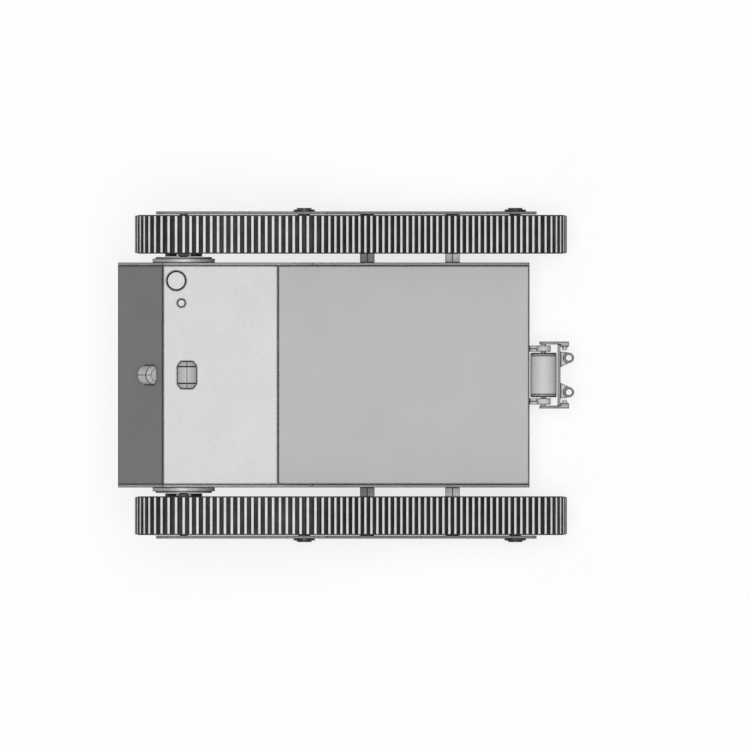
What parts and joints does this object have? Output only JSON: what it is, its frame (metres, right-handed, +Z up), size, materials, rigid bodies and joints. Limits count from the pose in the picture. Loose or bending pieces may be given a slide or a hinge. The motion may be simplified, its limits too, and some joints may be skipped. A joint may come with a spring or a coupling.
{
  "type": "tracked tank chassis",
  "caption": "Tracked robot chassis with a wedge-backed hull, two raised rubber-track pods with coupled wheels, capsule lamps and a tilting tow yoke.",
  "frame": {"origin": "on the ground, under the middle of the whole chassis", "axes": "+X towards the tail and its tow yoke, +Y to the chassis' right-hand side, +Z up"},
  "size_m": [0.4562, 0.3342, 0.2224],
  "materials": {
    "hull_metal": "light grey powder coat on 3 mm sheet",
    "frame_metal": "grey powder coat on 3 mm sheet",
    "hub_metal": "turned, satin",
    "steel": "plain",
    "bronze": "sintered bronze",
    "black_metal": "black anodised",
    "hitch_metal": "satin grey",
    "track_rubber": "black moulded rubber with scuffed rib tops",
    "wheel_plastic": "dark grey nylon",
    "fitting_plastic": "light grey moulded plastic",
    "lens": "frosted",
    "cell_metal": "sleeved battery cell",
    "case_plastic": "black moulded plastic",
    "board": "circuit board"
  },
  "bodies": {
    "chassis": {"side_plates_front": "hull_metal", "side_plates_rear": "hull_metal", "front_panel": "hull_metal", "top_panel": "hull_metal", "rear_deck": "hull_metal", "tail_plate": "hull_metal", "belly_plate": "hull_metal", "nose_panel": "hull_metal", "corner_rails": "hull_metal", "bulkhead": "hull_metal", "outer_plates_front": "frame_metal", "outer_plates_rear": "frame_metal", "inner_plates": "frame_metal", "wheel_axles": "steel", "wheel_bushes": "bronze", "frame_spacers": "hub_metal", "hex_standoffs": "hub_metal", "tie_bolts": "steel", "hub_caps": "hub_metal", "motor_flanges": "hub_metal", "flange_screws": "steel", "gearmotors": "steel", "battery_case": "case_plastic", "battery_cells": "cell_metal", "circuit_boards": "board", "board_standoffs": "case_plastic", "button_switch": "fitting_plastic", "status_lens": "lens", "lamp_covers": "fitting_plastic", "lamp_cradles": "fitting_plastic", "lamp_light_bars": "board", "hitch_ears": "hitch_metal", "tilt_motor": "hitch_metal", "track_left": "track_rubber", "track_right": "track_rubber"},
    "drive_left": {"sprocket_left": "wheel_plastic", "drive_hub_left": "black_metal", "hub_screws_left": "steel", "drive_shaft_left": "steel"},
    "upper_idler_left": {"upper_idler_left": "wheel_plastic"},
    "lower_idler_left": {"lower_idler_left": "wheel_plastic"},
    "rear_idler_left": {"rear_idler_left": "wheel_plastic"},
    "road_wheel_left_front": {"road_wheel_left_front": "wheel_plastic"},
    "road_wheel_left_rear": {"road_wheel_left_rear": "wheel_plastic"},
    "drive_right": {"sprocket_right": "wheel_plastic", "drive_hub_right": "black_metal", "hub_screws_right": "steel", "drive_shaft_right": "steel"},
    "upper_idler_right": {"upper_idler_right": "wheel_plastic"},
    "lower_idler_right": {"lower_idler_right": "wheel_plastic"},
    "rear_idler_right": {"rear_idler_right": "wheel_plastic"},
    "road_wheel_right_front": {"road_wheel_right_front": "wheel_plastic"},
    "road_wheel_right_rear": {"road_wheel_right_rear": "wheel_plastic"},
    "tow_yoke": {"tilt_yoke": "hitch_metal", "tow_eyes": "hitch_metal", "yoke_screws": "black_metal", "tilt_shaft": "steel"},
    "tow_pin_left": {"tow_pin_left": "steel"},
    "tow_pin_right": {"tow_pin_right": "steel"},
    "button": {"power_button": "fitting_plastic"}
  },
  "joints": [
    {"name": "drive_left_spin", "type": "hinge", "parent": "chassis", "child": "drive_left", "pos_m": [-0.1624, -0.1427, 0.17362], "axis": [0, 1, 0], "continuous": true, "deforming": ["track_left"]},
    {"name": "upper_idler_left_spin", "type": "hinge", "parent": "chassis", "child": "upper_idler_left", "pos_m": [-0.0419, -0.1427, 0.17362], "axis": [0, 1, 0], "continuous": true},
    {"name": "lower_idler_left_spin", "type": "hinge", "parent": "chassis", "child": "lower_idler_left", "pos_m": [-0.0419, -0.1427, 0.0488], "axis": [0, 1, 0], "continuous": true},
    {"name": "rear_idler_left_spin", "type": "hinge", "parent": "chassis", "child": "rear_idler_left", "pos_m": [0.1691, -0.1427, 0.0518], "axis": [0, 1, 0], "continuous": true},
    {"name": "road_wheel_left_front_spin", "type": "hinge", "parent": "chassis", "child": "road_wheel_left_front", "pos_m": [0.0212, -0.1427, 0.0233], "axis": [0, 1, 0], "continuous": true},
    {"name": "road_wheel_left_rear_spin", "type": "hinge", "parent": "chassis", "child": "road_wheel_left_rear", "pos_m": [0.1064, -0.1427, 0.0233], "axis": [0, 1, 0], "continuous": true},
    {"name": "drive_right_spin", "type": "hinge", "parent": "chassis", "child": "drive_right", "pos_m": [-0.1624, 0.1427, 0.17362], "axis": [0, 1, 0], "continuous": true, "deforming": ["track_right"]},
    {"name": "upper_idler_right_spin", "type": "hinge", "parent": "chassis", "child": "upper_idler_right", "pos_m": [-0.0419, 0.1427, 0.17362], "axis": [0, 1, 0], "continuous": true},
    {"name": "lower_idler_right_spin", "type": "hinge", "parent": "chassis", "child": "lower_idler_right", "pos_m": [-0.0419, 0.1427, 0.0488], "axis": [0, 1, 0], "continuous": true},
    {"name": "rear_idler_right_spin", "type": "hinge", "parent": "chassis", "child": "rear_idler_right", "pos_m": [0.1691, 0.1427, 0.0518], "axis": [0, 1, 0], "continuous": true},
    {"name": "road_wheel_right_front_spin", "type": "hinge", "parent": "chassis", "child": "road_wheel_right_front", "pos_m": [0.0212, 0.1427, 0.0233], "axis": [0, 1, 0], "continuous": true},
    {"name": "road_wheel_right_rear_spin", "type": "hinge", "parent": "chassis", "child": "road_wheel_right_rear", "pos_m": [0.1064, 0.1427, 0.0233], "axis": [0, 1, 0], "continuous": true},
    {"name": "yoke_tilt", "type": "hinge", "parent": "chassis", "child": "tow_yoke", "pos_m": [0.1974, 0, 0.0464], "axis": [0, -1, 0], "range_deg": [-45, 75]},
    {"name": "tow_pin_left_lift", "type": "slide", "parent": "tow_yoke", "child": "tow_pin_left", "axis": [0, 0, 1], "range_m": [0, 0.028]},
    {"name": "tow_pin_right_lift", "type": "slide", "parent": "tow_yoke", "child": "tow_pin_right", "axis": [0, 0, 1], "range_m": [0, 0.028]},
    {"name": "button_press", "type": "slide", "parent": "chassis", "child": "button", "axis": [0, 0, -1], "range_m": [0, 0.0015], "stiffness_N_per_m": 500, "springref_m": -0.002}
  ],
  "couplings": [
    {"joint": "upper_idler_left_spin", "follows": "drive_left_spin", "ratio": 0.99968},
    {"joint": "lower_idler_left_spin", "follows": "drive_left_spin", "ratio": 0.99968},
    {"joint": "rear_idler_left_spin", "follows": "drive_left_spin", "ratio": 0.93559},
    {"joint": "road_wheel_left_front_spin", "follows": "drive_left_spin", "ratio": 2.3927},
    {"joint": "road_wheel_left_rear_spin", "follows": "drive_left_spin", "ratio": 2.3927},
    {"joint": "upper_idler_right_spin", "follows": "drive_right_spin", "ratio": 0.99968},
    {"joint": "lower_idler_right_spin", "follows": "drive_right_spin", "ratio": 0.99968},
    {"joint": "rear_idler_right_spin", "follows": "drive_right_spin", "ratio": 0.93559},
    {"joint": "road_wheel_right_front_spin", "follows": "drive_right_spin", "ratio": 2.3927},
    {"joint": "road_wheel_right_rear_spin", "follows": "drive_right_spin", "ratio": 2.3927}
  ]
}
